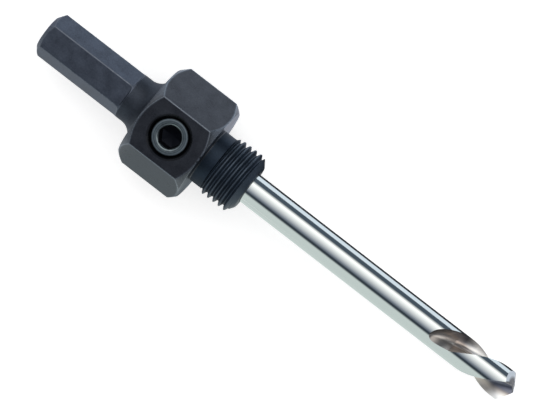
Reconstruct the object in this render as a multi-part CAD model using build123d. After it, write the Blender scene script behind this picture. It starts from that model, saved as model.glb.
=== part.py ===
"""Hole saw arbor: a hex-shanked body, its pilot drill and the grub screw that clamps the drill.

Millimetres. +X runs along the axis towards the drill's tip, +Z is up out of the flat that holds
the grub screw, and the origin is on the axis, in the collar's front face, where a saw seats.
"""
from build123d import *
from math import acos, asin, cos, degrees, radians, sin, sqrt, tan
import os

# Shank: a turned bar with six milled flats and a plain round neck behind the collar
shank_flats = 8.5
shank_flat_length = 20.0
shank_end_diameter = 6.7
shank_end_angle = 54.0
flat_runout_radius = 0.6
neck_diameter = 9.7
neck_length = 4.5
neck_fillet = 3.4

# Collar: a hexagon turned to a chamfer at both ends
collar_flats = 19.5
collar_length = 14.0
collar_face_diameter = 19.6
collar_chamfer_angle = 45.0

# Threaded boss for a 1/2 inch saw thread, modelled at the thread's outer diameter
thread_diameter = 12.7
boss_length = 10.0
boss_end_diameter = 9.3
boss_end_chamfer = 1.2
relief_diameter = 11.4
relief_length = 2.65
relief_angle = 45.0

# Bore for the pilot drill
drill_fit = 0.03
bore_depth = 22.0
bore_mouth_chamfer = 0.3
drill_end_play = 0.3

# Pilot drill: round shank with two short flutes and a four-facet point
drill_diameter = 6.35
drill_projection = 62.8
drill_back_chamfer = 0.5
point_angle = 118.0
lip_corner_direction = -37.0
lip_relief = 14.0
lip_facet_width = 0.8
heel_relief = 36.0
web_thickness = 1.1
flute_length = 14.5
flute_runout = 4.3
flute_lead = 34.0
flute_arc = 79.0
flute_bulge = 0.5

# The hand of the flutes: -1 winds them left-handed, +1 right-handed
helix_hand = -1

# Grub screw: M8, cup point, hexagon socket, in the middle of one collar flat
screw_diameter = 8.0
screw_length = 6.0
screw_fit = 0.03
screw_tip_gap = 0.02
screw_top_chamfer = 0.5
screw_tip_diameter = 5.0
screw_cup_diameter = 4.0
screw_cup_depth = 0.6
socket_flats = 4.0
socket_depth = 3.0
socket_mouth_diameter = 5.0
hole_countersink = 0.45

# Places that follow from the sizes
neck_back = -collar_length - neck_length
shank_back = neck_back - shank_flat_length
drill_radius = drill_diameter / 2
drill_tip = boss_length + drill_projection
web_radius = web_thickness / 2
lip_reach = sqrt(drill_radius**2 - web_radius**2)
lip_slope = 1 / tan(radians(point_angle / 2))
lip_corner = drill_tip - lip_reach * lip_slope + web_radius * tan(radians(lip_relief))
bore_bottom = boss_length - bore_depth
drill_back = bore_bottom + drill_end_play
screw_place = -collar_length / 2
screw_bottom = drill_radius + screw_tip_gap
screw_top = screw_bottom + screw_length

# How far a cutter stands past the face that it cuts, the turn by which the heel's arc does so,
# and the spans that a flute is lofted in
past = 1.0
heel_overrun = 15
flute_spans = 12


def hexagon(flats):
    """A hexagon across the given flats, with one flat level at the top."""
    return RegularPolygon(flats / 2, 6, major_radius=False)


def turned(points):
    """The solid that an outline of (x, radius) points leaves when it turns about the axis."""
    return revolve(make_face(Polyline(*points, close=True)), Axis.X, 360)


def body_blank():
    """The bar as it leaves the lathe: shank, neck, collar, thread relief and boss."""
    neck_radius = neck_diameter / 2
    shank_end_radius = shank_end_diameter / 2
    shank_chamfer = (neck_radius - shank_end_radius) / tan(radians(shank_end_angle))
    bar_radius = collar_flats / 2 / cos(radians(30)) + past
    face_radius = collar_face_diameter / 2
    collar_chamfer = (bar_radius - face_radius) / tan(radians(collar_chamfer_angle))
    relief_radius = relief_diameter / 2
    thread_radius = thread_diameter / 2
    relief_end = relief_length + (thread_radius - relief_radius) / tan(radians(relief_angle))
    outline = make_face(
        Polyline(
            (shank_back, 0),
            (shank_back, shank_end_radius),
            (shank_back + shank_chamfer, neck_radius),
            (-collar_length, neck_radius),
            (-collar_length, face_radius),
            (-collar_length + collar_chamfer, bar_radius),
            (-collar_chamfer, bar_radius),
            (0, face_radius),
            (0, relief_radius),
            (relief_length, relief_radius),
            (relief_end, thread_radius),
            (boss_length - boss_end_chamfer, thread_radius),
            (boss_length, boss_end_diameter / 2),
            (boss_length, 0),
            close=True,
        )
    )
    neck_corner = outline.vertices().sort_by_distance((-collar_length, neck_radius, 0))[0]
    return revolve(fillet(neck_corner, neck_fillet), Axis.X, 360)


def collar_waste():
    """What is milled off the collar to leave its six flats."""
    bar_radius = collar_flats / 2 / cos(radians(30)) + 2 * past
    ring = Circle(bar_radius) - hexagon(collar_flats)
    return extrude(Plane.YZ.offset(-collar_length) * ring, collar_length)


def shank_waste():
    """What is milled off the shank above one flat, rounded by the cutter where it runs out."""
    flat_height = shank_flats / 2
    top = neck_diameter / 2 + past
    outline = make_face(
        Polyline(
            (shank_back - past, flat_height),
            (neck_back, flat_height),
            (neck_back, top),
            (shank_back - past, top),
            close=True,
        )
    )
    runout_corner = outline.vertices().sort_by_distance((neck_back, flat_height, 0))[0]
    outline = fillet(runout_corner, flat_runout_radius)
    return extrude(Plane.XZ * outline, neck_diameter / 2, both=True)


def bore():
    """The drill's bore, with a chamfered mouth and the cone that a drill leaves at the bottom."""
    radius = drill_radius + drill_fit
    mouth = bore_mouth_chamfer + past
    return turned(
        [
            (boss_length + past, 0),
            (boss_length + past, radius + mouth),
            (boss_length - bore_mouth_chamfer, radius),
            (bore_bottom, radius),
            (bore_bottom - radius / tan(radians(point_angle / 2)), 0),
        ]
    )


def screw_hole():
    """The grub screw's hole, from its countersunk mouth down to the bore's axis."""
    radius = screw_diameter / 2
    flat_height = collar_flats / 2
    outline = Polyline(
        (0, 0),
        (radius, 0),
        (radius, flat_height - hole_countersink),
        (radius + hole_countersink + past, flat_height + past),
        (0, flat_height + past),
        close=True,
    )
    return Pos(screw_place, 0, 0) * revolve(Plane.XZ * make_face(outline), Axis.Z, 360)


def arbor_body():
    """The body: hex shank, neck, hex collar and threaded boss in one piece of steel."""
    body = body_blank() - collar_waste()
    for side in range(6):
        body -= shank_waste().rotate(Axis.X, 60 * side)
    return body - bore() - screw_hole()


def wound(radius, angle):
    """A point on a section, with its angle counted against the way the flutes wind."""
    turn = -helix_hand * radians(angle)
    return Vector(radius * cos(turn), radius * sin(turn))


def flute_section(place):
    """The waste of one flute in the plane at one place along the axis.

    The cutting face is a straight line from the cutting corner, at angle 0, that is tangent to
    the web. The heel's face is an arc from there to the edge of the next land. Before the full
    depth the whole outline lifts out along the flute's middle, as the square of the distance.
    """
    tangent_angle = degrees(acos(web_radius / drill_radius))
    lean = radians(tangent_angle - flute_arc / 2)
    clear_lift = sqrt(drill_radius**2 - (web_radius * sin(lean)) ** 2) - web_radius * cos(lean)
    full_depth = drill_tip - flute_length
    short = max(0.0, (full_depth - place) / flute_runout)
    lift = wound(clear_lift * short**2, -flute_arc / 2)

    cutting_corner = wound(drill_radius, 0)
    core = wound(web_radius, -tangent_angle)
    heel_corner = wound(drill_radius, -flute_arc)
    above_cutting = core + (cutting_corner - core) * 1.5
    above_heel = wound(1.5 * drill_radius, -flute_arc)
    outer = wound(2 * drill_radius, -flute_arc / 2)
    hollow = (core + heel_corner) / 2 - wound(flute_bulge, 0)
    centre = ThreePointArc(core, hollow, heel_corner).arc_center
    heel_past = centre + (heel_corner - centre).rotate(Axis.Z, -helix_hand * heel_overrun)
    outline = [
        Line(above_cutting + lift, core + lift),
        ThreePointArc(core + lift, heel_corner + lift, heel_past + lift),
        Line(heel_past + lift, above_heel + lift),
        Line(above_heel + lift, outer + lift),
        Line(outer + lift, above_cutting + lift),
    ]
    turn = lip_corner_direction - helix_hand * 360 / flute_lead * (lip_corner - place)
    return Plane.YZ.offset(place) * (Rot(0, 0, turn) * make_face(outline))


def flute():
    """One flute, lofted through sections that turn with the lead, from its run-out to the tip."""
    start = drill_tip - flute_length - 1.1 * flute_runout
    span = (drill_tip + past - start) / flute_spans
    return loft([flute_section(start + span * i) for i in range(flute_spans + 1)])


def point_planes():
    """The four facets of the point: for each lip its relief, and behind that the heel's.

    A lip stands half the web ahead of the axis, so it leans from the direction of its corner.
    """
    lean = degrees(asin(web_radius / drill_radius))
    behind_axis = lip_facet_width - web_radius
    for lip in range(2):
        lip_turn = radians(lip_corner_direction - helix_hand * lean + 180 * lip)
        along = Vector(0, cos(lip_turn), sin(lip_turn))
        behind = Vector(0, -sin(lip_turn), cos(lip_turn)) * -helix_hand
        ridge = Vector(drill_tip, 0, 0)
        drop = Vector(behind_axis * tan(radians(lip_relief)), 0, 0)
        for place, relief in ((ridge, lip_relief), (ridge + behind * behind_axis - drop, heel_relief)):
            normal = Vector(1, 0, 0) + along * lip_slope + behind * tan(radians(relief))
            yield Plane(place, z_dir=normal)


def pilot_drill():
    """The drill, from the end that stands in the bore to its point."""
    blank = turned(
        [
            (drill_back, 0),
            (drill_back, drill_radius - drill_back_chamfer),
            (drill_back + drill_back_chamfer, drill_radius),
            (drill_tip + past, drill_radius),
            (drill_tip + past, 0),
        ]
    )
    cut = flute()
    drill = blank - cut - cut.rotate(Axis.X, 180)
    for facet in point_planes():
        drill = split(drill, facet, keep=Keep.BOTTOM)
    return drill


def grub_screw():
    """The screw: cup point on the drill, and a hexagon socket in its top."""
    radius = screw_diameter / 2 - screw_fit
    tip_radius = screw_tip_diameter / 2
    mouth_radius = socket_mouth_diameter / 2
    mouth_depth = mouth_radius - socket_flats / 2
    outline = Polyline(
        (0, screw_bottom + screw_cup_depth),
        (screw_cup_diameter / 2, screw_bottom),
        (tip_radius, screw_bottom),
        (radius, screw_bottom + radius - tip_radius),
        (radius, screw_top - screw_top_chamfer),
        (radius - screw_top_chamfer, screw_top),
        (mouth_radius, screw_top),
        (mouth_radius - mouth_depth, screw_top - mouth_depth),
        (0, screw_top - mouth_depth),
        close=True,
    )
    screw = revolve(Plane.XZ * make_face(outline), Axis.Z, 360)
    socket_floor = screw_top - socket_depth
    screw -= extrude(Plane.XY.offset(socket_floor) * hexagon(socket_flats), socket_depth + past)
    return Pos(screw_place, 0, 0) * screw


nodes = {
    "arbor_body": arbor_body(),
    "pilot_drill": pilot_drill(),
    "grub_screw": grub_screw(),
}

os.makedirs("parts", exist_ok=True)
for name, solid in nodes.items():
    export_step(solid, f"parts/{name}.step")
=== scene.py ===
# %% [markdown]
# A hole saw arbor
#
# The object is a steel arbor with a hexagonal shank, a big hexagonal collar and a threaded boss,
# a bright pilot drill that stands in its bore, and a socket grub screw that clamps the drill.
# Its CAD model gives every size and place, and this script gives the looks.
# Nothing is ever fitted by hand: each piece is computed in the CAD model's own frame, in metres.

import bmesh
import bpy
import numpy as np
from mathutils import Matrix, Vector


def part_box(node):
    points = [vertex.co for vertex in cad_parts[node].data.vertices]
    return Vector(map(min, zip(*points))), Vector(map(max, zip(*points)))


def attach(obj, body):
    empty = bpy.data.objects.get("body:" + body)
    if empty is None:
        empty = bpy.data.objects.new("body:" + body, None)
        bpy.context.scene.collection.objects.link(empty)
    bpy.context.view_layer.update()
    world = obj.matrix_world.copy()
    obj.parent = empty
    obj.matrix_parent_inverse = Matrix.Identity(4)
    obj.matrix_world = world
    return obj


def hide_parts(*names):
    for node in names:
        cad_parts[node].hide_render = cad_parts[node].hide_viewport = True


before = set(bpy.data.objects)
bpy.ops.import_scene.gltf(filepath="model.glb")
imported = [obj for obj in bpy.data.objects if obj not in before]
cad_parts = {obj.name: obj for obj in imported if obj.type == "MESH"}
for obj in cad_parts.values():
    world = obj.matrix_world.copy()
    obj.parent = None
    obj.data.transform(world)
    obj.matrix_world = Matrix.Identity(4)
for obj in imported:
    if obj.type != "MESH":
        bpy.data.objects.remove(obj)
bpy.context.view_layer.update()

scene = bpy.context.scene
scene.view_settings.view_transform = "Standard"

# %% [markdown]
# Driving sizes
#
# Sizes are written in millimetres times `MM`, so they read as a machinist would say them. The
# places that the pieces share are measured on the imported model, and only what it leaves plain,
# such as the thread's pitch, is stated here. Angles called `phi` turn about the X axis, from +Y
# towards +Z. `HELIX_HAND` is -1 where the flutes and the thread wind left-handed.

# %% Sizes that the pieces share
MM = 0.001
HELIX_HAND = -1
FLOOR_GAP = 0.02 * MM

body_low, body_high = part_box("arbor_body")
drill_low, drill_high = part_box("pilot_drill")
screw_low, screw_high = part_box("grub_screw")

SHANK_BACK = body_low.x
BOSS_END = body_high.x
COLLAR_APOTHEM = body_high.z
DRILL_BACK = drill_low.x
DRILL_TIP = drill_high.x
SCREW_PLACE = (screw_low.x + screw_high.x) / 2
SCREW_BOTTOM = screw_low.z
SCREW_TOP = screw_high.z
FLOOR = body_low.z - FLOOR_GAP
print("shank back", SHANK_BACK, "boss end", BOSS_END, "drill tip", DRILL_TIP, "screw", SCREW_PLACE)

# %% [markdown]
# Camera
#
# The photograph looks down on the arbor with a long lens: parallel edges stay parallel. So the
# camera stands far off with a narrow view. Its direction is given in the arbor's own angles: how
# far the drill's tip leans towards the lens, and at which `phi` the lens stands. The roll then
# lays the axis down the slope that it has in the picture, and the aim puts the origin on its pixel.

# %% Camera from the picture's own angles
PHOTO_WIDTH = 550
PHOTO_HEIGHT = 413
PIXELS_PER_METRE = 5290.0
TIP_LEAN = np.radians(3.5)
LENS_PHI = np.radians(79.5)
AXIS_SLOPE = np.radians(37.73)
ORIGIN_PIXEL = (207.85, 155.5)
LENS_DISTANCE = 0.7
SENSOR = 36.0

towards_lens = np.array(
    [
        np.sin(TIP_LEAN),
        np.cos(TIP_LEAN) * np.cos(LENS_PHI),
        np.cos(TIP_LEAN) * np.sin(LENS_PHI),
    ]
)
across = np.array([0.0, np.sin(LENS_PHI), -np.cos(LENS_PHI)])
lengthwise = np.cross(across, towards_lens)
right = np.cos(AXIS_SLOPE) * lengthwise + np.sin(AXIS_SLOPE) * across
up = np.cos(AXIS_SLOPE) * across - np.sin(AXIS_SLOPE) * lengthwise
aim = (
    right * (PHOTO_WIDTH / 2 - ORIGIN_PIXEL[0]) + up * (ORIGIN_PIXEL[1] - PHOTO_HEIGHT / 2)
) / PIXELS_PER_METRE

camera_data = bpy.data.cameras.new("camera")
camera_data.sensor_width = SENSOR
camera_data.lens = PIXELS_PER_METRE * LENS_DISTANCE * SENSOR / PHOTO_WIDTH
camera_data.clip_start = 0.01
camera_data.clip_end = 20.0
camera = bpy.data.objects.new("camera", camera_data)
scene.collection.objects.link(camera)
scene.camera = camera
turn = Matrix(np.column_stack([right, up, towards_lens]).tolist()).to_4x4()
camera.matrix_world = Matrix.Translation(Vector(aim + towards_lens * LENS_DISTANCE)) @ turn
print("lens", round(camera_data.lens, 1), "mm, at", [round(v, 3) for v in camera.location])

# %% [markdown]
# Helpers for surfaces
#
# Every piece is one closed surface: rows of points along it, and columns around it. The points
# are worked out as whole arrays, and numpy puts them into the mesh. Where a row shrinks to one
# point, its columns are merged there, so that the surface closes with a clean pole.

# %% A grid of points becomes a closed mesh
MERGE = 1e-7


def ring_quads(rows, columns):
    """Every quad between neighbouring rows of a grid whose columns close into a ring."""
    row = np.arange(rows - 1)[:, None] * columns
    column = np.arange(columns)[None, :]
    after = (column + 1) % columns
    corners = [row + column, row + after, row + columns + after, row + columns + column]
    return np.stack(corners, axis=-1).reshape(-1, 4).astype(np.int32)


def tidy(mesh):
    """Merges the points that coincide, drops what has no area, and turns every face outwards."""
    work = bmesh.new()
    work.from_mesh(mesh)
    bmesh.ops.remove_doubles(work, verts=work.verts, dist=MERGE)
    bmesh.ops.dissolve_degenerate(work, edges=work.edges, dist=MERGE)
    bmesh.ops.recalc_face_normals(work, faces=work.faces)
    work.to_mesh(mesh)
    open_edges = sum(not edge.is_manifold for edge in work.edges)
    volume = work.calc_volume() / MM**3
    work.free()
    return open_edges, volume


def surface(name, points, point_values=None, column_values=None):
    """An object whose mesh is the closed surface through a grid of points, shape (rows, columns, 3).

    point_values maps a name to one number for each point of the grid, and column_values maps a
    name to one number for each column of faces.
    """
    rows, columns, _ = points.shape
    quads = ring_quads(rows, columns)
    mesh = bpy.data.meshes.new(name)
    mesh.vertices.add(rows * columns)
    mesh.vertices.foreach_set("co", points.astype(np.float32).ravel())
    mesh.loops.add(quads.size)
    mesh.loops.foreach_set("vertex_index", quads.ravel())
    mesh.polygons.add(len(quads))
    mesh.polygons.foreach_set("loop_start", np.arange(0, quads.size, 4, dtype=np.int32))
    mesh.update(calc_edges=True)
    for key, values in (point_values or {}).items():
        put(mesh, key, values)
    for key, values in (column_values or {}).items():
        put(mesh, key, np.tile(values, rows - 1), "FACE")
    open_edges, volume = tidy(mesh)
    print(name, len(mesh.polygons), "faces,", open_edges, "open edges,", round(volume, 1), "mm3")
    piece = bpy.data.objects.new(name, mesh)
    scene.collection.objects.link(piece)
    return piece


def points_of(piece):
    """Every point of a piece's mesh, as an array of shape (points, 3)."""
    flat = np.empty(3 * len(piece.data.vertices), np.float32)
    piece.data.vertices.foreach_get("co", flat)
    return flat.reshape(-1, 3).astype(float)


def put(mesh, name, values, domain="POINT"):
    """Gives every point or face a named number, which a material reads as an attribute."""
    layer = mesh.attributes.new(name, "FLOAT", domain)
    layer.data.foreach_set("value", np.asarray(values, np.float32).ravel())


def apply_modifiers(piece):
    """Replaces a piece's mesh by what its modifiers make of it."""
    evaluated = piece.evaluated_get(bpy.context.evaluated_depsgraph_get())
    finished = bpy.data.meshes.new_from_object(evaluated)
    piece.modifiers.clear()
    piece.data = finished


def shade(piece, sharp_angle):
    """Smooth shading, broken at edges sharper than an angle, with normals that favour big faces."""
    piece.data.polygons.foreach_set("use_smooth", np.ones(len(piece.data.polygons), bool))
    piece.data.set_sharp_from_angle(angle=np.radians(sharp_angle))
    weighting = piece.modifiers.new("normals", "WEIGHTED_NORMAL")
    weighting.keep_sharp = True
    weighting.weight = 100
    apply_modifiers(piece)


# %% [markdown]
# A turned part is a profile carried round an axis. Here the profile may differ from column to
# column, which is how a hexagon and the arcs that a chamfer leaves on its flats come out exact.
# Every machined edge has a small break on it: a corner of the profile is swapped for a short
# curve, and that curve is what catches a thin line of light.

# %% A profile with rounded corners, different in every column
def rounded(corners, radii, steps=5):
    """A profile through corners, each of them swapped for a short curve.

    corners is a list of (place, radius) pairs, and each of those is a number or one number for
    each column. The curve leaves the profile `radii` before the corner and joins it as far after
    it: a quadratic Bezier curve whose middle control point is the corner.
    """
    columns = max(np.size(value) for corner in corners for value in corner)
    path = np.array([[np.broadcast_to(v, columns) for v in corner] for corner in corners], float)
    path = np.moveaxis(path, 1, 2)
    leg = path[1:] - path[:-1]
    length = np.linalg.norm(leg, axis=2, keepdims=True)
    leg = leg / np.maximum(length, 1e-12)
    reach = np.asarray(radii, float).reshape(-1, 1, 1) * np.ones((len(corners) - 2, 1, 1))
    reach = np.minimum(reach, 0.45 * np.minimum(length[:-1], length[1:]))
    corner = path[1:-1]
    before = corner - leg[:-1] * reach
    after = corner + leg[1:] * reach
    t = np.linspace(0, 1, steps).reshape(1, -1, 1, 1)
    curve = (1 - t) ** 2 * before[:, None] + 2 * t * (1 - t) * corner[:, None] + t**2 * after[:, None]
    curve = curve.reshape(-1, columns, 2)
    return np.concatenate([path[:1], curve, path[-1:]])


def arc(centre, radius, start, end, steps, columns):
    """Points on a circle in the profile's plane: centre plus radius times cosine and sine."""
    angle = np.linspace(start, end, steps)[:, None] * np.ones(columns)
    return np.stack([centre[0] + radius * np.cos(angle), centre[1] + radius * np.sin(angle)], -1)


def hexagon_radius(angle, apothem, corner_radius):
    """The distance from the axis to a hexagon's outline, in a direction counted from a flat's middle.

    On the flat it is the apothem over the cosine. Near a corner it is the far crossing with the
    circle that rounds that corner, whose centre lies on the corner's own direction.
    """
    off = np.abs(angle)
    to_corner = np.radians(30) - off
    centre = (apothem - corner_radius) / np.cos(np.radians(30))
    tangent = np.arctan((apothem - corner_radius) * np.tan(np.radians(30)) / apothem)
    inside = np.maximum(corner_radius**2 - (centre * np.sin(to_corner)) ** 2, 0)
    round_part = centre * np.cos(to_corner) + np.sqrt(inside)
    return np.where(off > tangent, round_part, apothem / np.cos(off))


# %% [markdown]
# The arbor's body
#
# The body is one bar of steel: turned first, then milled to its hexagons. Its columns stand close
# together near the hexagons' corners and far apart on the flats, and every row follows a line that
# a tool really cut. The thread is a ridge that moves along the axis as the angle turns, so it is
# worked out for every point: the outline of the bar, or the thread's groove where that is deeper.
# A Bevel modifier would round a hexagon's edges too, but it can't leave the arcs that a turned
# chamfer leaves on the flats. A profile of its own for every column gives them exactly.

# %% Columns round the body
SHANK_APOTHEM = 4.25 * MM
NECK_RADIUS = 4.85 * MM
shank_kink = np.degrees(np.arccos(SHANK_APOTHEM / NECK_RADIUS))
HALF_SECTOR = [0, 3, 6, 9, 12, 15, 17.5, 20, 22, 24, 25.5, 27, 28, 28.5, shank_kink, 29.1, 29.4, 29.7]
sector = np.concatenate([-np.array(HALF_SECTOR[:0:-1]), HALF_SECTOR, [30]])
off_flat = np.radians(np.tile(sector, 6))
flat_middle = np.radians(np.repeat(30 + 60 * np.arange(6), len(sector)))
body_phi = flat_middle + off_flat
print("columns round the body", len(body_phi))

# %% The body's profile in every column
SHANK_END_RADIUS = 3.35 * MM
SHANK_END_ANGLE = np.radians(54)
NECK_BACK = -18.5 * MM
RUNOUT_RADIUS = 0.6 * MM
COLLAR_BACK = -14.0 * MM
NECK_FILLET = 3.0 * MM
COLLAR_FACE_RADIUS = 9.8 * MM
COLLAR_REAR_RADIUS = 9.6 * MM
COLLAR_CORNER_RADIUS = 0.22 * MM
RELIEF_RADIUS = 5.7 * MM
RELIEF_END = 2.65 * MM
THREAD_RADIUS = 6.35 * MM
BOSS_CHAMFER = 1.2 * MM
BOSS_END_RADIUS = 4.65 * MM
DRILL_RADIUS = 3.175 * MM
BORE_RADIUS = 3.205 * MM
BORE_MOUTH = 0.3 * MM
BORE_BOTTOM = -12.0 * MM
POINT_ANGLE = np.radians(118)

# A row of points this far behind an edge keeps that edge's wear from spreading over the flat
WEAR_GUARD = 0.35 * MM

collar = hexagon_radius(off_flat, COLLAR_APOTHEM, COLLAR_CORNER_RADIUS)
collar_face = np.minimum(COLLAR_FACE_RADIUS, collar)
collar_chamfer = collar - collar_face
rear_chamfer = collar - COLLAR_REAR_RADIUS
shank = np.minimum(SHANK_APOTHEM / np.cos(off_flat), NECK_RADIUS)
shank_break = SHANK_BACK + (shank - SHANK_END_RADIUS) / np.tan(SHANK_END_ANGLE)
columns = len(body_phi)

shank_rows = rounded(
    [
        (SHANK_BACK, 0),
        (SHANK_BACK, SHANK_END_RADIUS),
        (shank_break, shank),
        (shank_break + WEAR_GUARD, shank),
        (NECK_BACK - 2 * RUNOUT_RADIUS, shank),
    ],
    [0.12 * MM, 0.1 * MM, 0],
)
rise = np.clip((NECK_RADIUS * np.cos(off_flat) - SHANK_APOTHEM) / RUNOUT_RADIUS, 0, 1)
sweep = np.linspace(0, 1, 9)[:, None] * np.arccos(1 - rise)
milled = (SHANK_APOTHEM + RUNOUT_RADIUS * (1 - np.cos(sweep))) / np.cos(off_flat)
runout_place = NECK_BACK - RUNOUT_RADIUS + RUNOUT_RADIUS * np.sin(sweep)
runout_rows = np.stack([runout_place, np.minimum(milled, NECK_RADIUS)], -1)
neck_rows = np.concatenate(
    [
        arc((NECK_BACK + 0.05 * MM, 0), NECK_RADIUS, np.pi / 2, np.pi / 2, 1, columns),
        arc(
            (COLLAR_BACK - NECK_FILLET, NECK_RADIUS + NECK_FILLET),
            NECK_FILLET,
            -np.pi / 2,
            0,
            14,
            columns,
        ),
    ]
)
collar_rows = rounded(
    [
        (COLLAR_BACK, NECK_RADIUS + NECK_FILLET + 0.05 * MM),
        (COLLAR_BACK, COLLAR_REAR_RADIUS),
        (COLLAR_BACK + rear_chamfer, collar),
        (COLLAR_BACK + rear_chamfer + WEAR_GUARD, collar),
        (-collar_chamfer - WEAR_GUARD, collar),
        (-collar_chamfer, collar),
        (0, collar_face),
        (0, RELIEF_RADIUS),
        (RELIEF_END - 0.3 * MM, RELIEF_RADIUS),
    ],
    [0.12 * MM, 0.15 * MM, 0, 0, 0.15 * MM, 0.12 * MM, 0.15 * MM],
)
print("rows on the shank", len(shank_rows), "neck", len(neck_rows), "collar", len(collar_rows))

# %% The thread on the boss
THREAD_PITCH = 25.4 / 20 * MM
THREAD_DEPTH = 0.77 * MM
CREST_FLAT = 0.17
ROOT_FLAT = 0.14
FIRST_CREST = 0.38 * MM
CREST_PHI = np.radians(-10.5)
THREAD_ROWS = 230


def thread_groove(place, turned, pitch, depth, crest_flat, root_flat):
    """How deep a thread's groove is, from 0 on the crest to `depth` in the root.

    The distance to the nearest crest, as a share of the pitch, runs from 0 to a half. The groove's
    wall is a straight ramp between the crest's flat and the root's, eased a little at both ends.
    """
    share = np.abs((place / pitch - turned + 0.5) % 1 - 0.5)
    ramp = np.clip((share - crest_flat / 2) / (0.5 - crest_flat / 2 - root_flat / 2), 0, 1)
    eased = ramp**2 * (3 - 2 * ramp)
    return depth * (0.7 * ramp + 0.3 * eased)


place = np.linspace(RELIEF_END - 0.2 * MM, BOSS_END - 0.12 * MM, THREAD_ROWS)[:, None]
turned = HELIX_HAND * (body_phi[None, :] - CREST_PHI) / (2 * np.pi)
groove = thread_groove(
    place - FIRST_CREST, turned, THREAD_PITCH, THREAD_DEPTH, CREST_FLAT, ROOT_FLAT
)
boss_slope = (THREAD_RADIUS - BOSS_END_RADIUS) / BOSS_CHAMFER
rising = RELIEF_RADIUS + np.maximum(place - RELIEF_END, 0)
falling = BOSS_END_RADIUS + (BOSS_END - place) * boss_slope
outline = np.minimum(np.minimum(rising, falling), THREAD_RADIUS)
radius = np.minimum(outline, THREAD_RADIUS - groove)
thread_rows = np.stack([place * np.ones(columns), radius], -1)
print("crest radius", round(radius.max() / MM, 2), "mm, groove", round(groove.max() / MM, 2), "mm")

bore_rows = rounded(
    [
        (BOSS_END, BOSS_END_RADIUS - 0.05 * MM),
        (BOSS_END, BORE_RADIUS + BORE_MOUTH),
        (BOSS_END - BORE_MOUTH, BORE_RADIUS),
        (BORE_BOTTOM, BORE_RADIUS),
        (BORE_BOTTOM - BORE_RADIUS / np.tan(POINT_ANGLE / 2), 0),
    ],
    [0.06 * MM, 0.06 * MM, 0.05 * MM],
    steps=4,
)
bore_rows = bore_rows + np.zeros((1, columns, 1))

body_profile = np.concatenate(
    [shank_rows, runout_rows, neck_rows, collar_rows, thread_rows, bore_rows]
)


def about_x(profile, phi):
    """Turns a profile of (place, radius) about the X axis: y is radius times the cosine, z the sine."""
    place, radius = profile[..., 0], profile[..., 1]
    return np.stack([place, radius * np.cos(phi), radius * np.sin(phi)], -1)


arbor_body = surface("arbor_steel", about_x(body_profile, body_phi))

# %% [markdown]
# The grub screw and its hole
#
# The screw and its hole have the same thread, so that the screw still meshes when it has backed
# out by three whole turns. The hole is cut from the body as a tap would cut it: a second closed
# surface, the space that the tap leaves, is taken away with an exact Boolean. A dark ring would do
# for the photograph, but not for a screw that stands out of its hole.

# %% The tapped hole, cut from the collar
SCREW_PITCH = 1.25 * MM
HOLE_MAJOR = 4.0 * MM
HOLE_DEPTH_OF_THREAD = 0.55 * MM
COUNTERSINK = 0.45 * MM
TAP_TOP = COLLAR_APOTHEM + 0.4 * MM
screw_columns = 96
psi = np.linspace(0, 2 * np.pi, screw_columns, endpoint=False)
screw_turned = HELIX_HAND * psi / (2 * np.pi)


def about_screw(profile, psi):
    """Turns a profile of (height, radius) about the screw's own axis, which stands along Z."""
    height, radius = profile[..., 0], profile[..., 1]
    return np.stack([SCREW_PLACE + radius * np.cos(psi), radius * np.sin(psi), height], -1)


height = np.linspace(0.0, TAP_TOP, 150)[:, None]
ridge = HOLE_DEPTH_OF_THREAD - thread_groove(
    height - SCREW_TOP - SCREW_PITCH / 2,
    screw_turned,
    SCREW_PITCH,
    HOLE_DEPTH_OF_THREAD,
    crest_flat=0.25,
    root_flat=0.1,
)
mouth = HOLE_MAJOR + COUNTERSINK + (height - COLLAR_APOTHEM)
wall = np.maximum(HOLE_MAJOR - HOLE_DEPTH_OF_THREAD + ridge, mouth)
hole_profile = np.stack([height * np.ones(screw_columns), wall], -1)
cap = np.zeros((1, screw_columns, 2))
hole_profile = np.concatenate([cap, hole_profile, cap + [TAP_TOP, 0]])
tap = surface("tap", about_screw(hole_profile, psi))
cut = arbor_body.modifiers.new("hole", "BOOLEAN")
cut.operation = "DIFFERENCE"
cut.solver = "EXACT"
cut.object = tap
apply_modifiers(arbor_body)
bpy.data.objects.remove(tap)
open_edges, volume = tidy(arbor_body.data)
shade(arbor_body, 38)
print("body", len(arbor_body.data.polygons), "faces,", open_edges, "open edges")
print("body", round(volume, 1), "mm3")

# %% The grub screw
SCREW_RADIUS = 3.93 * MM
SCREW_THREAD_DEPTH = 0.5 * MM
SCREW_FACE_RADIUS = 3.5 * MM
SOCKET_APOTHEM = 2.0 * MM
SOCKET_MOUTH = 2.5 * MM
SOCKET_TURN = np.pi / 6
SOCKET_FLOOR = SCREW_TOP - 3.0 * MM
CUP_RADIUS = 2.0 * MM
CUP_DEPTH = 0.6 * MM
TIP_RADIUS = 2.5 * MM

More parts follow.
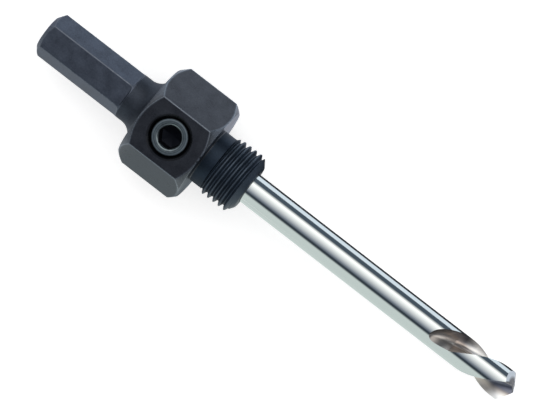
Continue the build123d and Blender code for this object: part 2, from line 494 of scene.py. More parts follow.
socket_off = (psi + SOCKET_TURN + np.pi / 6) % (np.pi / 3) - np.pi / 6
socket = hexagon_radius(socket_off, SOCKET_APOTHEM, 0.08 * MM)
side = np.linspace(SCREW_BOTTOM + 0.02 * MM, SCREW_TOP - 0.02 * MM, 110)[:, None]
cone_foot = TIP_RADIUS + (side - SCREW_BOTTOM)
cone_head = SCREW_FACE_RADIUS + (SCREW_TOP - side)
screw_groove = thread_groove(
    side - SCREW_TOP,
    screw_turned,
    SCREW_PITCH,
    SCREW_THREAD_DEPTH,
    crest_flat=0.12,
    root_flat=0.2,
)
flank = np.minimum(np.minimum(cone_foot, cone_head), SCREW_RADIUS - screw_groove)
side_rows = np.stack([side * np.ones(screw_columns), flank], -1)
cup_rows = rounded(
    [
        (SCREW_BOTTOM + CUP_DEPTH, 0),
        (SCREW_BOTTOM, CUP_RADIUS),
        (SCREW_BOTTOM, TIP_RADIUS - 0.03 * MM + np.zeros(screw_columns)),
    ],
    [0.04 * MM],
)
socket_rows = rounded(
    [
        (SCREW_TOP - 0.02 * MM, SCREW_FACE_RADIUS + 0.02 * MM),
        (SCREW_TOP, SCREW_FACE_RADIUS - 0.3 * MM),
        (SCREW_TOP, SOCKET_MOUTH),
        (SCREW_TOP - (SOCKET_MOUTH - socket), socket),
        (SOCKET_FLOOR, socket),
        (SOCKET_FLOOR - 0.4 * MM, 0),
    ],
    [0.28 * MM, 0.24 * MM, 0.06 * MM, 0.05 * MM],
)
screw_profile = np.concatenate([cup_rows, side_rows, socket_rows])
grub_screw = surface("grub_screw_threaded", about_screw(screw_profile, psi))
shade(grub_screw, 38)

# %% [markdown]
# The pilot drill
#
# The drill is a section carried along the axis while it turns with the flutes' lead. In each
# section a land is an arc, a cutting face is a straight line from the core to the lip, and the
# heel's face is an arc. Where the flutes run out, the grinding wheel lifts, so the same shape moves
# outwards until it leaves the round bar. The point is ground last, by cutting with four planes.
# A Boolean with a twisted tool could cut the flutes as well, but it leaves ragged edges where they
# run out. Sections keep every edge one clean line of points.

# %% The drill's sections
LIP_DIRECTION = np.radians(-27.5)
FLUTE_LEAD = 34.0 * MM
FLUTE_ARC = np.radians(90)
FLUTE_LENGTH = 14.2 * MM
FLUTE_RUNOUT = 4.9 * MM
FLUTE_BULGE = 0.5 * MM
RUNOUT_TURN = np.radians(6)
WEB_RADIUS = 0.55 * MM
LIP_RELIEF = np.radians(14)
LIP_FACET = 0.8 * MM
HEEL_RELIEF = np.radians(36)
DRILL_CHAMFER = 0.5 * MM
PAST_TIP = 2.8 * MM
CREASE_REACH = 0.8 * MM
LAND_COLUMNS = 60
HEEL_COLUMNS = 16
CREASE_COLUMNS = 12
RAKE_COLUMNS = 10

lip_slope = 1 / np.tan(POINT_ANGLE / 2)
lip_reach = np.sqrt(DRILL_RADIUS**2 - WEB_RADIUS**2)
lip_corner = DRILL_TIP - lip_reach * lip_slope + WEB_RADIUS * np.tan(LIP_RELIEF)


def unit(angle):
    """The direction at an angle, as a complex number: a section is easiest in complex numbers."""
    return np.exp(1j * angle)


def circle_through(a, b, c):
    """Centre and radius of the circle through three points of a section."""
    w = (c - a) / (b - a)
    centre = (b - a) * (w - abs(w) ** 2) / (2j * w.imag) + a
    return centre, abs(a - centre)


def drill_sections(place):
    """The outline of the drill at each place along the axis, shape (places, columns), as complex.

    Angle 0 is a lip, and angles grow towards the land behind it. A lifted flute meets the round
    bar where its straight face and its arc cross the bar's circle, and both crossings run
    together where the flute ends. The lift grows almost evenly along the run-out, and its last
    part is steep, so that the flute ends in a clear edge. The whole section turns by one turn for
    each lead, and by a few degrees more where it runs out.
    """
    tangent = np.arccos(WEB_RADIUS / DRILL_RADIUS)
    core = WEB_RADIUS * unit(-tangent)
    heel = DRILL_RADIUS * unit(-FLUTE_ARC)
    centre, radius = circle_through(core, (core + heel) / 2 - FLUTE_BULGE, heel)
    lean = tangent - FLUTE_ARC / 2
    clear = np.sqrt(DRILL_RADIUS**2 - (WEB_RADIUS * np.sin(lean)) ** 2) - WEB_RADIUS * np.cos(lean)
    short = np.clip((DRILL_TIP - FLUTE_LENGTH - place) / FLUTE_RUNOUT, 0, 1)[:, None]
    lift = clear * (0.7 * short + 0.3 * short**8) * unit(-FLUTE_ARC / 2)

    core = core + lift
    centre = centre + lift
    ahead = unit(np.pi / 2 - tangent)
    along_face = (core * np.conj(ahead)).real
    inside = np.maximum(along_face**2 - abs(core) ** 2 + DRILL_RADIUS**2, 0)
    lip = core + ahead * np.maximum(np.sqrt(inside) - along_face, 0)
    off = abs(centre)
    foot = (DRILL_RADIUS**2 - radius**2 + off**2) / (2 * off)
    half = np.sqrt(np.maximum(DRILL_RADIUS**2 - foot**2, 0))
    heel = centre / off * (foot - 1j * half)

    share = np.linspace(0, 1, LAND_COLUMNS + 1)[None, :]
    lip_angle = np.angle(lip)
    heel_angle = np.angle(heel) + np.pi
    land = DRILL_RADIUS * unit(lip_angle + (heel_angle - lip_angle) * share[:, :-1])
    start = np.angle(heel - centre)
    end = np.angle(core - centre)
    swing = (end - start + np.pi) % (2 * np.pi) - np.pi
    arc_length = radius * abs(swing)
    face_length = abs(lip - core)
    reach = np.minimum(CREASE_REACH, 0.4 * np.minimum(arc_length, face_length))
    last = 1 - reach / np.maximum(arc_length, 1e-12)
    first = reach / np.maximum(face_length, 1e-12)
    share = last * np.linspace(0, 1, HEEL_COLUMNS + 1)[None, :]
    hollow = centre + radius * unit(start + swing * share)
    share = first + (1 - first) * np.linspace(0, 1, RAKE_COLUMNS + 1)[None, :-1]
    rake = core + (lip - core) * share
    t = np.linspace(0, 1, CREASE_COLUMNS + 1)[None, 1:-1]
    crease = (1 - t) ** 2 * hollow[:, -1:] + 2 * t * (1 - t) * core + t**2 * rake[:, :1]
    half_outline = np.concatenate([land, -hollow, -crease, -rake], axis=1)
    outline = np.concatenate([half_outline, -half_outline], axis=1)
    if HELIX_HAND > 0:
        outline = np.conj(outline)
    turn = LIP_DIRECTION - HELIX_HAND * 2 * np.pi / FLUTE_LEAD * (lip_corner - place)
    turn = turn[:, None] + HELIX_HAND * RUNOUT_TURN * short
    return outline * unit(turn)


flutes_end = DRILL_TIP - FLUTE_LENGTH - FLUTE_RUNOUT
runout = flutes_end + FLUTE_RUNOUT * np.linspace(0, 1, 30) ** 2
full = np.arange(flutes_end + FLUTE_RUNOUT, DRILL_TIP + PAST_TIP, 0.2 * MM)[1:]
place = np.concatenate([runout, full])
sections = drill_sections(place)
back = np.array([DRILL_BACK, DRILL_BACK, DRILL_BACK + DRILL_CHAMFER, 0.0, 20 * MM, 40 * MM])
share = np.array([0.0, 1 - DRILL_CHAMFER / DRILL_RADIUS, 1, 1, 1, 1])
sections = np.concatenate([share[:, None] * sections[:1], sections, 0 * sections[-1:]])
place = np.concatenate([back, place, place[-1:] + 0.1 * MM])
place = place[:, None] * np.ones(sections.shape[1])
flute_columns = sections.shape[1] // 2 - LAND_COLUMNS
flute_share = np.arange(flute_columns) / flute_columns
across_flute = np.concatenate([[1], np.zeros(LAND_COLUMNS - 1), flute_share])
in_flute = np.concatenate([np.zeros(LAND_COLUMNS), np.ones(flute_columns)])
pilot_drill = surface(
    "pilot_drill_ground",
    np.stack([place, sections.real, sections.imag], -1),
    {"across_flute": np.tile(across_flute, (len(place), 2))},
    {"in_flute": np.tile(in_flute, 2)},
)

# %% The four facets of the point
lean = np.arcsin(WEB_RADIUS / DRILL_RADIUS)
behind_axis = LIP_FACET - WEB_RADIUS
facets = []
for lip in range(2):
    direction = LIP_DIRECTION - HELIX_HAND * lean + np.pi * lip
    along_lip = np.array([0, np.cos(direction), np.sin(direction)])
    behind_lip = -HELIX_HAND * np.array([0, -np.sin(direction), np.cos(direction)])
    for relief, step in ((LIP_RELIEF, 0.0), (HEEL_RELIEF, behind_axis)):
        normal = np.array([1, 0, 0]) + along_lip * lip_slope + behind_lip * np.tan(relief)
        point = np.array([DRILL_TIP - step * np.tan(LIP_RELIEF), 0, 0]) + behind_lip * step
        facets.append((point, normal / np.linalg.norm(normal)))


def grind(piece, point, normal, mark):
    """Cuts away all that lies above a plane, and closes the cut with one flat, numbered face."""
    work = bmesh.new()
    work.from_mesh(piece.data)
    facet = work.faces.layers.float.get("facet") or work.faces.layers.float.new("facet")
    everything = work.verts[:] + work.edges[:] + work.faces[:]
    bmesh.ops.bisect_plane(
        work, geom=everything, dist=1e-8, plane_co=point, plane_no=normal, clear_outer=True
    )
    rim = [edge for edge in work.edges if edge.is_boundary]
    for face in bmesh.ops.edgeloop_fill(work, edges=rim)["faces"]:
        face[facet] = mark
    work.to_mesh(piece.data)
    work.free()


for mark, which in ((1, 0), (1, 2), (2, 1), (2, 3)):
    grind(pilot_drill, *facets[which], mark)
open_edges, volume = tidy(pilot_drill.data)
shade(pilot_drill, 20)
print("drill", len(pilot_drill.data.polygons), "faces,", open_edges, "open edges")
print("drill", round(volume, 1), "mm3")

# %% [markdown]
# Wear
#
# Black oxide rubs off first where an edge sticks out. So every point of the body gets a number
# that is 1 on a machined edge and 0 a little way from it, worked out from the same lines that
# shaped the body: the hexagons' corners, the arcs that the chamfers leave, and the thread's crests.
# The Pointiness of a mesh finds its edges too, but it changes with how close the points stand.

# %% How worn each point of the body is
FLAT_EDGE = 0.2 * MM
FACE_EDGE = 0.14 * MM
SHANK_EDGE = 0.12 * MM
CREST_WEAR = 0.12


def near(width, *offsets):
    """1 on a line and 0 from `width` away, from the offsets along two directions."""
    distance = np.hypot(*offsets)
    return np.clip(1.3 * (1 - distance / width), 0, 1)


x, y, z = points_of(arbor_body).T
radius = np.hypot(y, z)
off_middle = np.abs((np.degrees(np.arctan2(z, y)) % 60) - 30)
outline = hexagon_radius(np.radians(off_middle), COLLAR_APOTHEM, COLLAR_CORNER_RADIUS)
chamfer = np.maximum(outline - COLLAR_FACE_RADIUS, 0)
rear = outline - COLLAR_REAR_RADIUS
on_collar = (x > COLLAR_BACK - 0.01 * MM) & (x < 0.01 * MM) & (radius > 8 * MM)
collar_wear = np.maximum.reduce(
    [
        np.clip((off_middle - 29.05) / 0.5, 0, 1) * (radius > outline - 0.05 * MM),
        near(FLAT_EDGE, x + chamfer, radius - outline),
        near(FLAT_EDGE, x - COLLAR_BACK - rear, radius - outline),
        near(FACE_EDGE, x, radius - COLLAR_FACE_RADIUS),
        near(FACE_EDGE, x - COLLAR_BACK, radius - COLLAR_REAR_RADIUS),
    ]
)
shank_outline = np.minimum(SHANK_APOTHEM / np.cos(np.radians(off_middle)), NECK_RADIUS)
slope = (shank_outline - SHANK_END_RADIUS) / np.tan(SHANK_END_ANGLE)
shank_wear = np.maximum.reduce(
    [
        0.5 * np.clip((off_middle - 28.5) / 0.25, 0, 1) * (radius > SHANK_APOTHEM),
        0.6 * near(SHANK_EDGE, x - SHANK_BACK - slope, radius - shank_outline),
        0.6 * near(SHANK_EDGE, x - SHANK_BACK, radius - SHANK_END_RADIUS),
    ]
)
on_shank = x < NECK_BACK - RUNOUT_RADIUS
crest_wear = CREST_WEAR * np.clip((radius - THREAD_RADIUS + 0.14 * MM) / (0.12 * MM), 0, 1)
crest_wear = np.where(x > RELIEF_END, crest_wear, 0)
wear = np.where(on_collar, collar_wear, 0) + np.where(on_shank, shank_wear, 0) + crest_wear
put(arbor_body.data, "wear", wear)
print("worn points", int((wear > 0.5).sum()), "of", len(wear))

# %% Painted shade on the grub screw: its socket, and the gap round it, which lie in the dark
x, y, z = points_of(grub_screw).T
radius = np.hypot(x - SCREW_PLACE, y)
recess = np.where(radius < SOCKET_MOUTH, (SCREW_TOP - z - 0.08 * MM) / (0.2 * MM), 0)
recess = np.maximum(recess, (radius - SCREW_FACE_RADIUS + 0.04 * MM) / (0.08 * MM))
put(grub_screw.data, "recess", np.clip(recess, 0, 1))
print("dark points", int((recess > 0.5).sum()), "of", len(recess))

# %% [markdown]
# Finishes
#
# Metals are almost all reflection: a base colour says how much they give back, and the roughness
# how blurred it is. Black oxide gives back about a tenth, and its colour is set zone by zone along
# the body: lightest on the blue-grey shank, darkest on the relief and the thread. Rubbed steel
# shows through it on the edges, and painted shade fills the gap round the grub screw and its socket.
# The drill is ground bright. Its flutes run from slate to brown, with painted highlights and
# painted reflections where their hollows catch the light.
# All patterns are noise on the object's own coordinates, so they stay with a piece that moves.

# %% Small tools for node materials
def new_material(name):
    """A node material, its tree of nodes, and the Principled shader in it."""
    material = bpy.data.materials.new(name)
    material.use_nodes = True
    tree = material.node_tree
    return material, tree, tree.nodes["Principled BSDF"]


def number(tree, operation, *inputs):
    """A math node on sockets or plain numbers."""
    node = tree.nodes.new("ShaderNodeMath")
    node.operation = operation
    for socket, value in zip(node.inputs, inputs):
        if isinstance(value, (int, float)):
            socket.default_value = value
        else:
            tree.links.new(value, socket)
    return node.outputs[0]


def off_axis(tree, first, second):
    """The square root of the sum of two squares: how far a point is off an axis."""
    squares = number(tree, "MULTIPLY_ADD", first, first, number(tree, "MULTIPLY", second, second))
    return number(tree, "SQRT", squares)


def blend(tree, factor, first, second):
    """A mix of two colours, each a socket or a plain colour."""
    node = tree.nodes.new("ShaderNodeMix")
    node.data_type = "RGBA"
    tree.links.new(factor, node.inputs["Factor"])
    for socket, value in ((node.inputs["A"], first), (node.inputs["B"], second)):
        if isinstance(value, tuple):
            socket.default_value = (*value, 1)
        else:
            tree.links.new(value, socket)
    return node.outputs["Result"]


def along(tree, value, low, high, stops, steps=False):
    """A colour that changes with a value between low and high, by a few (place, colour) stops."""
    scaled = tree.nodes.new("ShaderNodeMapRange")
    scaled.inputs["From Min"].default_value = low
    scaled.inputs["From Max"].default_value = high
    tree.links.new(value, scaled.inputs["Value"])
    ramp = tree.nodes.new("ShaderNodeValToRGB")
    ramp.color_ramp.interpolation = "CONSTANT" if steps else "LINEAR"
    elements = ramp.color_ramp.elements
    while len(elements) < len(stops):
        elements.new(1.0)
    for element, (at, colour) in zip(elements, stops):
        element.position = (at - low) / (high - low)
        element.color = (*colour, 1) if isinstance(colour, tuple) else (colour, colour, colour, 1)
    tree.links.new(scaled.outputs[0], ramp.inputs["Fac"])
    return ramp.outputs["Color"]


def noise(tree, vector, scale, detail=2.0, stretch=(1, 1, 1)):
    """Noise between 0 and 1 on a vector, stretched along some axes."""
    mapping = tree.nodes.new("ShaderNodeMapping")
    mapping.inputs["Scale"].default_value = stretch
    tree.links.new(vector, mapping.inputs["Vector"])
    node = tree.nodes.new("ShaderNodeTexNoise")
    node.inputs["Scale"].default_value = scale
    node.inputs["Detail"].default_value = detail
    tree.links.new(mapping.outputs[0], node.inputs["Vector"])
    return node.outputs["Fac"]


def attribute(tree, name):
    """The number that a mesh attribute holds."""
    node = tree.nodes.new("ShaderNodeAttribute")
    node.attribute_name = name
    return node.outputs["Fac"]


def place_nodes(tree):
    """The object's own coordinates, as a vector and as x, y and z."""
    texture = tree.nodes.new("ShaderNodeTexCoord")
    parts = tree.nodes.new("ShaderNodeSeparateXYZ")
    tree.links.new(texture.outputs["Object"], parts.inputs[0])
    return texture.outputs["Object"], parts.outputs[0], parts.outputs[1], parts.outputs[2]


def bump(tree, height, distance, shader):
    """Tilts a shader's normal by a height pattern of a given depth."""
    node = tree.nodes.new("ShaderNodeBump")
    node.inputs["Distance"].default_value = distance
    tree.links.new(height, node.inputs["Height"])
    tree.links.new(node.outputs[0], shader.inputs["Normal"])


# %% Black oxide on the body
RELIEF_START = 0.05 * MM
COATS = [
    (SHANK_BACK, (0.150, 0.175, 0.225)),
    (NECK_BACK, (0.086, 0.102, 0.130)),
    (COLLAR_BACK, (0.096, 0.102, 0.116)),
    (RELIEF_START, (0.040, 0.060, 0.088)),
    (RELIEF_END, (0.052, 0.082, 0.124)),
]
SATINS = [(SHANK_BACK, 0.44), (NECK_BACK, 0.56), (COLLAR_BACK, 0.29), (RELIEF_START, 0.48)]
METALS = [(SHANK_BACK, 1.0), (RELIEF_END, 0.7)]
PORES = (0.010, 0.011, 0.014)
RUBBED = (0.24, 0.27, 0.31)
GAP_SHADE = (0.010, 0.011, 0.013)
SCREW_SIDE = 5 * MM

oxide, tree, shader = new_material("black_oxide")
vector, x, y, z = place_nodes(tree)
coat = along(tree, x, SHANK_BACK, BOSS_END, COATS, steps=True)
satin = along(tree, x, SHANK_BACK, BOSS_END, SATINS, steps=True)
metal = along(tree, x, SHANK_BACK, BOSS_END, METALS, steps=True)
cloud = noise(tree, vector, scale=420.0, detail=4.0)
grain = noise(tree, vector, scale=3200.0)
mottled = number(tree, "MULTIPLY_ADD", cloud, 0.5, 0.08)
mottled = number(tree, "MULTIPLY_ADD", grain, 0.35, mottled)
coat = blend(tree, mottled, PORES, coat)

# Steel shows through on the edges, where the wear and the grain let it
rubbed = number(tree, "MULTIPLY_ADD", grain, 1.1, 0.1)
rubbed = number(tree, "MULTIPLY", rubbed, attribute(tree, "wear"))
rubbed = number(tree, "MINIMUM", rubbed, 1.0)
coat = blend(tree, rubbed, coat, RUBBED)

# Painted shade: a dark, slightly wavy ring in the gap round the screw, on its own flat only
from_screw = off_axis(tree, y, number(tree, "SUBTRACT", x, SCREW_PLACE))
top_side = number(tree, "GREATER_THAN", z, SCREW_SIDE)
wavy = number(tree, "MULTIPLY_ADD", cloud, 0.3 * MM, from_screw)
shadowed = along(tree, wavy, 4.0 * MM, 4.8 * MM, [(4.2 * MM, 1.0), (4.38 * MM, 0.0)])
shadowed = number(tree, "MULTIPLY", shadowed, top_side)
coat = blend(tree, shadowed, coat, GAP_SHADE)
tree.links.new(coat, shader.inputs["Base Color"])
tree.links.new(metal, shader.inputs["Metallic"])
rough = number(tree, "MULTIPLY_ADD", cloud, 0.12, satin)
rough = number(tree, "SUBTRACT", rough, 0.06)
tree.links.new(rough, shader.inputs["Roughness"])

# The lathe's fine rings run round the X axis
around = off_axis(tree, y, z)
lathe = tree.nodes.new("ShaderNodeCombineXYZ")
tree.links.new(x, lathe.inputs[0])
tree.links.new(around, lathe.inputs[1])
rings = noise(tree, lathe.outputs[0], scale=5200.0, detail=1.0)
bump(tree, number(tree, "ADD", rings, grain), 0.004 * MM, shader)
print(oxide.name, "has", len(tree.nodes), "nodes")

# %% Ground steel on the drill
# Colours across a flute, from the heel, over the bottom, to the lip. The near-white stop at 0.68 is
# a painted highlight: the line of light that the curved hollow reflects near the crease.
FLUTE_TINTS_AND_HIGHLIGHT = [
    (0.0, (0.09, 0.10, 0.13)),
    (0.28, (0.17, 0.17, 0.19)),
    (0.45, (0.45, 0.38, 0.33)),
    (0.60, (0.55, 0.48, 0.42)),
    (0.68, (1.00, 0.94, 0.84)),
    (0.76, (0.50, 0.43, 0.36)),
    (1.0, (0.66, 0.61, 0.55)),
]
# From the drill's axis to its edge, on the facets behind the lips' own
SECOND_FACET_TINTS = [
    (0.0, (0.065, 0.068, 0.078)),
    (2.0 * MM, (0.09, 0.095, 0.11)),
    (2.5 * MM, (0.38, 0.43, 0.49)),
]
GROUND = (0.578, 0.618, 0.612)
LIP_GROUND = (0.60, 0.66, 0.74)
FLUTE_BOTTOM = [(0.42, 0.0), (0.47, 1.0), (0.74, 1.0), (0.84, 0.0)]
SOOT = (0.07, 0.07, 0.08)
GLARE_WHITE = (0.97, 0.96, 0.93)
BOTTOM_DARK = (0.16, 0.17, 0.21)
LIP_GLARE_WHITE = (0.97, 0.97, 0.96)
RUNOUT_DARK = (0.25, 0.24, 0.235)

ground, tree, shader = new_material("ground_steel")
vector, x, y, z = place_nodes(tree)
streak = noise(tree, vector, scale=900.0, detail=3.0, stretch=(0.25, 1, 1))
across_flute = attribute(tree, "across_flute")
flute_tint_and_glare = along(tree, across_flute, 0.0, 1.0, FLUTE_TINTS_AND_HIGHLIGHT)
uneven = number(tree, "MULTIPLY_ADD", streak, 1.2, 0.3)
flute_tint_and_glare = blend(tree, number(tree, "MINIMUM", uneven, 1.0), SOOT, flute_tint_and_glare)

# Painted reflection: near white towards the heel, from where the flutes have their full depth, for
# the bright light that the hollow reflects there
tipwards = along(tree, x, 59 * MM, 64 * MM, [(60 * MM, 0.0), (62.5 * MM, 1.0)])
hollow = along(tree, across_flute, 0.0, 1.0, [(0.36, 1.0), (0.50, 0.0)])
hollow_glare = number(tree, "MULTIPLY", tipwards, hollow)
flute_tint_and_glare = blend(tree, hollow_glare, flute_tint_and_glare, GLARE_WHITE)

# Darker at the bottom near the point, a painted highlight near white on the faces beside the lips,
# and darker where the flutes run out
bottom = along(tree, across_flute, 0.0, 1.0, FLUTE_BOTTOM)
near_tip = along(tree, x, 60 * MM, 68 * MM, [(63 * MM, 0.0), (66 * MM, 1.0)])
darker_bottom = number(tree, "MULTIPLY", near_tip, bottom)
flute_tint_and_glare = blend(tree, darker_bottom, flute_tint_and_glare, BOTTOM_DARK)
lip_face = along(tree, across_flute, 0.0, 1.0, [(0.78, 0.0), (0.92, 1.0)])
at_lip = along(tree, x, 66 * MM, 73 * MM, [(68.5 * MM, 0.0), (71 * MM, 1.0)])
lip_glare = number(tree, "MULTIPLY", lip_face, at_lip)
flute_tint_and_glare = blend(tree, lip_glare, flute_tint_and_glare, LIP_GLARE_WHITE)
at_start = along(tree, x, 50 * MM, 60 * MM, [(55.5 * MM, 0.75), (59 * MM, 0.0)])
flute_tint_and_glare = blend(tree, at_start, flute_tint_and_glare, RUNOUT_DARK)

# The flutes' tints stay in the flutes, and each facet of the point has its own
in_flute = attribute(tree, "in_flute")
facet = attribute(tree, "facet")
first = number(tree, "COMPARE", facet, 1.0, 0.2)
second = number(tree, "COMPARE", facet, 2.0, 0.2)
steel = blend(tree, in_flute, GROUND, flute_tint_and_glare)
around = off_axis(tree, y, z)
second_facet_tint = along(tree, around, 0.0, DRILL_RADIUS, SECOND_FACET_TINTS)
steel = blend(tree, first, steel, LIP_GROUND)
steel = blend(tree, second, steel, second_facet_tint)
tree.links.new(steel, shader.inputs["Base Color"])
shader.inputs["Metallic"].default_value = 1.0
fine = noise(tree, vector, scale=2500.0, stretch=(1, 0.2, 0.2))
rough = number(tree, "MULTIPLY_ADD", fine, 0.05, 0.06)
rough = number(tree, "MULTIPLY_ADD", in_flute, 0.26, rough)
tree.links.new(rough, shader.inputs["Roughness"])
print(ground.name, "has", len(tree.nodes), "nodes")

# %% The grub screw's steel, with painted highlights on its face and painted shade in its socket
# Painted highlights: light rings on the screw's face, at the radii where its rounded edges catch
# the light, by their distance from its axis
HIGHLIGHT_RINGS = [
    (2.45 * MM, 0.8),
    (2.65 * MM, 0.25),
    (2.85 * MM, 0.65),
    (3.05 * MM, 0.3),
    (3.25 * MM, 1.0),
    (3.45 * MM, 0.35),
]
RING_DARK = (0.035, 0.043, 0.047)
RING_PALE = (0.225, 0.270, 0.285)
SOCKET_SHADE = (0.008, 0.009, 0.012)

socket_steel, tree, shader = new_material("screw_steel")
vector, x, y, z = place_nodes(tree)
grain = noise(tree, vector, scale=2200.0, detail=3.0)
from_axis = off_axis(tree, y, number(tree, "SUBTRACT", x, SCREW_PLACE))
ring_highlight = along(tree, from_axis, 2.2 * MM, 3.6 * MM, HIGHLIGHT_RINGS)
ring_highlight = number(tree, "MULTIPLY_ADD", grain, 0.5, ring_highlight)
ring_highlight = number(tree, "SUBTRACT", ring_highlight, 0.2)
ring = blend(tree, ring_highlight, RING_DARK, RING_PALE)
# Painted shade: the socket and the gap round the screw are near black
ring = blend(tree, attribute(tree, "recess"), ring, SOCKET_SHADE)
tree.links.new(ring, shader.inputs["Base Color"])
shader.inputs["Metallic"].default_value = 1.0
rough = number(tree, "MULTIPLY_ADD", grain, 0.1, 0.26)
tree.links.new(rough, shader.inputs["Roughness"])
print(socket_steel.name, "has", len(tree.nodes), "nodes")

# %% Each piece with its material, body, CAD node and slot name: it gets the material, rides on the body and hides the CAD node
for piece, material, body, node, slot in (
    (arbor_body, oxide, "body", "arbor_body", "black_oxide_steel"),
    (pilot_drill, ground, "drill", "pilot_drill", "ground_steel"),
    (grub_screw, socket_steel, "screw", "grub_screw", "screw_steel"),
):
    piece.data.materials.clear()
    piece.data.materials.append(material)
    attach(piece, body)
    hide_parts(node)
    print(piece.name, "rides on", body, "in place of", node)

# %% [markdown]
# Floor, backdrop and light
#
# The photograph has a white ground and soft light. Bright metal shows its whole surroundings, so
# they are built as a studio has them, and each band on the drill is one of these cards: a big soft
# box over the lens that fades downwards, a dark gap under it, pale paper below, and a slate wall
# on the far side. They are bent round the drill's axis, and only reflections see them. A panorama
# of a real studio would do much the same, but a card has its place and colour stated here.
#
# What the object itself darkens is the floor close to it. Flat strips just above the floor stand
# in for that: the contact shadow behind the drill, the shade under the shank, collar and boss, the
# sky's light on the floor behind them, and the pale paper in front.

# %% Floor and world
FLOOR_SIZE = 3.0
FLOOR_GLOW = 0.62
WORLD_LIGHT = 0.5

floor_mesh = bpy.data.meshes.new("floor")
half = FLOOR_SIZE / 2
floor_mesh.from_pydata(
    [(-half, -half, FLOOR), (half, -half, FLOOR), (half, half, FLOOR), (-half, half, FLOOR)],
    [],
    [(0, 1, 2, 3)],
)
floor = bpy.data.objects.new("floor", floor_mesh)
scene.collection.objects.link(floor)


def seen_directly(tree):
    """A value that is 1 for camera, glossy and transmission rays, and 0 for the light that falls."""
    path = tree.nodes.new("ShaderNodeLightPath")
    camera_or_glossy = number(
        tree, "MAXIMUM", path.outputs["Is Camera Ray"], path.outputs["Is Glossy Ray"]
    )
    return number(tree, "MAXIMUM", camera_or_glossy, path.outputs["Is Transmission Ray"])


paper, tree, shader = new_material("pale_floor")
shader.inputs["Base Color"].default_value = (0.8, 0.8, 0.8, 1)
shader.inputs["Roughness"].default_value = 0.9
shader.inputs["Specular IOR Level"].default_value = 0.0
shader.inputs["Emission Color"].default_value = (1, 1, 1, 1)
glow = number(tree, "MULTIPLY", seen_directly(tree), FLOOR_GLOW)
tree.links.new(glow, shader.inputs["Emission Strength"])
floor_mesh.materials.append(paper)

world = bpy.data.worlds.new("studio")
scene.world = world
world.use_nodes = True
tree = world.node_tree
background = tree.nodes["Background"]
background.inputs["Color"].default_value = (1, 1, 1, 1)
strength = tree.nodes.new("ShaderNodeMapRange")
strength.inputs["To Min"].default_value = WORLD_LIGHT
strength.inputs["To Max"].default_value = 1.0
tree.links.new(seen_directly(tree), strength.inputs["Value"])
tree.links.new(strength.outputs[0], background.inputs["Strength"])
print("floor at", round(FLOOR / MM, 2), "mm")

# %% Cards that only reflections see
CARD_DISTANCE = 0.55
CARD_HALF_LENGTH = 0.6
WALL_HALF_WIDTH = 0.6
WALL_HEIGHTS = (FLOOR, 0.2, 0.6)


def card(name, points, colours):
    """A sheet through a grid of points that glows with a colour for each point.

    points has the shape (rows, columns, 3), and so has colours.
    """
    rows, columns, _ = points.shape
    corner = (np.arange(rows - 1)[:, None] * columns + np.arange(columns - 1)[None, :]).ravel()
    quads = np.stack([corner, corner + 1, corner + columns + 1, corner + columns], -1)
    mesh = bpy.data.meshes.new(name)
    mesh.from_pydata(points.reshape(-1, 3).tolist(), [], quads.tolist())
    glow = mesh.attributes.new("glow", "FLOAT_COLOR", "POINT")
    rgba = np.concatenate([colours, np.ones((rows, columns, 1))], -1)
    glow.data.foreach_set("color", rgba.astype(np.float32).ravel())
    sheet = bpy.data.objects.new(name, mesh)
    scene.collection.objects.link(sheet)
    material, tree, shader = new_material(name)
    tree.nodes.remove(shader)
    light = tree.nodes.new("ShaderNodeEmission")
    colour = tree.nodes.new("ShaderNodeAttribute")
    colour.attribute_name = "glow"
    tree.links.new(colour.outputs["Color"], light.inputs["Color"])
    tree.links.new(light.outputs[0], tree.nodes["Material Output"].inputs["Surface"])
    mesh.materials.append(material)
    sheet.visible_camera = False
    sheet.visible_diffuse = False
    sheet.visible_shadow = False
    sheet.visible_transmission = False
    print(name, "of", rows, "by", columns, "points")


def floor_strip(name, stops, y_low, y_high, lift):
    """A flat card just above the floor, whose colour changes along X by (x, colour) stops."""
    x = np.array([stop[0] for stop in stops])[:, None] * np.ones(2)
    y = np.array([y_low, y_high]) * np.ones((len(stops), 1))
    colours = np.array([stop[1] for stop in stops])[:, None] * np.ones((1, 2, 1))
    card(name, np.stack([x, y, 0 * x + FLOOR + lift], -1), colours)


SLATE = (0.10, 0.13, 0.17)
SOFT_BOX = (1.95, 1.90, 1.85)
GAP = (0.05, 0.065, 0.085)
WHITE_PAPER = (0.89, 0.955, 0.93)
FADING = (0.33, 0.36, 0.43)
ROOM = (0.20, 0.21, 0.23)
BACK_LIGHT = (1.5, 1.55, 1.6)

# Angles about X in degrees, counted from the lens, with what a reflection finds there
BANDS = [
    (-84, SLATE),
    (-57, SLATE),
    (-37, SOFT_BOX),
    (19, FADING),
    (32, GAP),
    (42, GAP),
    (54, WHITE_PAPER),
    (104, WHITE_PAPER),
]

stop_angle = np.array([angle for angle, colour in BANDS])
stop_colour = np.array([colour for angle, colour in BANDS])
band_angle = np.linspace(stop_angle[0], stop_angle[-1], 190)
band_colour = np.stack([np.interp(band_angle, stop_angle, part) for part in stop_colour.T], -1)
reach = np.linspace(-CARD_HALF_LENGTH, CARD_HALF_LENGTH, 41)
sideways = np.degrees(np.arctan(np.abs(reach) / CARD_DISTANCE))
phi = LENS_PHI + np.radians(band_angle)
band_points = np.stack(
    [
        reach[:, None] * np.ones(len(phi)),
        CARD_DISTANCE * np.cos(phi) * np.ones((len(reach), 1)),
        CARD_DISTANCE * np.sin(phi) * np.ones((len(reach), 1)),
    ],
    -1,
)

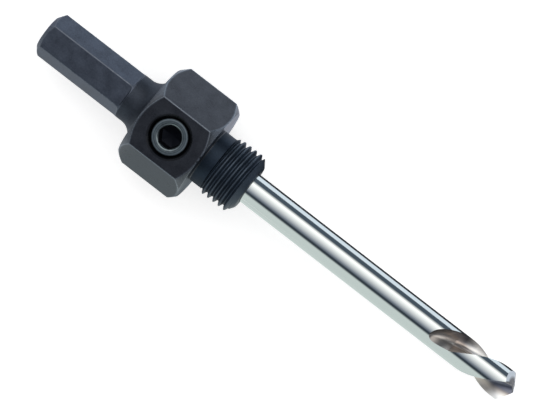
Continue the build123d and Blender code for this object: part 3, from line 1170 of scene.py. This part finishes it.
# Seen more sideways than `fade_start` degrees, the wall fades into the room's own light
fade_start = np.interp(band_angle, [-60, -45, 0, 22, 40], [20, 50, 45, 20, 12])
fade = np.clip((sideways[:, None] - fade_start) / 14, 0, 1)[..., None]
fade = fade**2 * (3 - 2 * fade)
room_light = np.interp(band_angle, [-60, 20, 50], [1, 1, 2.2])[None, :, None]
colours = band_colour[None] * (1 - fade) + np.array(ROOM) * room_light * fade
card("studio_wall", band_points, colours)
for side, name, top in ((-1, "back_wall", BACK_LIGHT), (1, "front_wall", ROOM)):
    end = side * CARD_HALF_LENGTH
    wall = [[(end, y, z) for y in (-WALL_HALF_WIDTH, WALL_HALF_WIDTH)] for z in WALL_HEIGHTS]
    shades = np.array([ROOM, ROOM, top])[:, None] * np.ones((1, 2, 1))
    card(name, np.array(wall), shades)

# %% Strips on the floor that only reflections see
CONTACT = (0.045, 0.05, 0.06)
SKY = (1.10, 1.19, 1.31)
UNDER_SHANK = (0.74, 0.79, 0.83)
UNDER_COLLAR = (0.48, 0.55, 0.58)
UNDER_BOSS = (0.25, 0.29, 0.32)
FAR_FLOOR = (0.28, 0.30, 0.33)
UNDER_BODY = (0.62, 0.66, 0.76)
NEAR_STOPS = [
    (-590 * MM, FAR_FLOOR),
    (-150 * MM, FAR_FLOOR),
    (-60 * MM, UNDER_SHANK),
    (-17 * MM, UNDER_SHANK),
    (-15 * MM, UNDER_COLLAR),
    (-1 * MM, UNDER_COLLAR),
]
LOW = 0.1 * MM
HIGH = 0.2 * MM


def plain(start, end, colour):
    """The stops of a strip that has one colour from start to end along X."""
    return [(start, colour), (end, colour)]


floor_strip("contact_shadow", plain(9 * MM, 76 * MM, CONTACT), 0.5 * MM, 13.5 * MM, LOW)
floor_strip("under_body", plain(-90 * MM, 9 * MM, UNDER_BODY), -2 * MM, 13.5 * MM, LOW)
floor_strip("sky_on_floor", plain(-90 * MM, 160 * MM, SKY), 13.5 * MM, 90 * MM, LOW)
floor_strip("slate_floor", plain(-600 * MM, 600 * MM, SLATE), 90 * MM, 550 * MM, HIGH)
floor_strip("near_floor", NEAR_STOPS, -90 * MM, -2 * MM, LOW)
floor_strip("under_boss", plain(-1 * MM, 6 * MM, UNDER_BOSS), -25 * MM, -2 * MM, HIGH)
floor_strip("pale_floor_strip", plain(-1 * MM, 600 * MM, WHITE_PAPER), -550 * MM, -2 * MM, LOW)

# %% The lamp that lights the floor
LAMP_PHI = LENS_PHI - np.radians(25)
LAMP_DISTANCE = 0.7
LAMP_LIGHT = 1.1

outwards = Vector((0, np.cos(LAMP_PHI), np.sin(LAMP_PHI)))
lamp = bpy.data.lights.new("key", "AREA")
lamp.shape = "RECTANGLE"
lamp.size = 1.1
lamp.size_y = 0.5
lamp.energy = np.pi * lamp.size * lamp.size_y * LAMP_LIGHT
key = bpy.data.objects.new("key", lamp)
scene.collection.objects.link(key)
x_axis = Vector((1, 0, 0))
turn = Matrix((x_axis, outwards.cross(x_axis), outwards)).transposed().to_4x4()
key.matrix_world = Matrix.Translation(outwards * LAMP_DISTANCE) @ turn
key.visible_camera = False
key.visible_glossy = False
print("lamp of", round(lamp.energy, 2), "watts")
